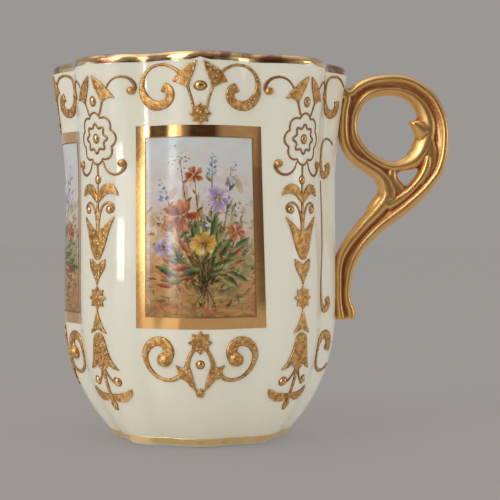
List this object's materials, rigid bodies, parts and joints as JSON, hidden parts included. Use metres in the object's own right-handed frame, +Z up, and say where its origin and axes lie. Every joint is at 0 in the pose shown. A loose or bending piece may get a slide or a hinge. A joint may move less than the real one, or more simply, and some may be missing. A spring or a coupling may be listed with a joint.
{
  "type": "espresso cup",
  "caption": "Fluted porcelain demitasse cup with a scalloped rim, a gilded pierced scroll handle, framed painted panels and raised gilt ornament.",
  "frame": {"origin": "the middle of the foot ring, on the surface that the cup stands on", "axes": "+Z up along the cup's axis, +X towards the handle, -Y towards the front panel"},
  "size_m": [0.0676, 0.0504, 0.0624],
  "materials": {
    "porcelain": "clear cream-white glaze",
    "gilded_porcelain": "burnished gold over porcelain",
    "burnished_gold": "burnished gold film",
    "paste_gold": "raised paste under satin gold",
    "enamel": "painted enamel under glaze"
  },
  "bodies": {
    "root": {"cup_body": "porcelain", "handle": "gilded_porcelain", "gilt_rim_band": "burnished_gold", "gilt_foot_line": "burnished_gold", "painted_panel_front": "enamel", "gilt_frame_front": "burnished_gold", "upper_scrolls_front": "paste_gold", "lower_scrolls_front": "paste_gold", "painted_panel_back": "enamel", "gilt_frame_back": "burnished_gold", "upper_scrolls_back": "paste_gold", "lower_scrolls_back": "paste_gold", "painted_panel_left": "enamel", "gilt_frame_left": "burnished_gold", "upper_scrolls_left": "paste_gold", "lower_scrolls_left": "paste_gold", "rosette_front_left": "paste_gold", "rosette_star_front_left": "paste_gold", "tulip_front_left": "paste_gold", "husk_drop_front_left": "paste_gold", "star_front_left": "paste_gold", "cone_front_left": "paste_gold", "bell_spray_front_left": "paste_gold", "rosette_front_right": "paste_gold", "rosette_star_front_right": "paste_gold", "tulip_front_right": "paste_gold", "husk_drop_front_right": "paste_gold", "star_front_right": "paste_gold", "cone_front_right": "paste_gold", "bell_spray_front_right": "paste_gold", "rosette_back_right": "paste_gold", "rosette_star_back_right": "paste_gold", "tulip_back_right": "paste_gold", "husk_drop_back_right": "paste_gold", "star_back_right": "paste_gold", "cone_back_right": "paste_gold", "bell_spray_back_right": "paste_gold", "rosette_back_left": "paste_gold", "rosette_star_back_left": "paste_gold", "tulip_back_left": "paste_gold", "husk_drop_back_left": "paste_gold", "star_back_left": "paste_gold", "cone_back_left": "paste_gold", "bell_spray_back_left": "paste_gold"}
  },
  "joints": []
}
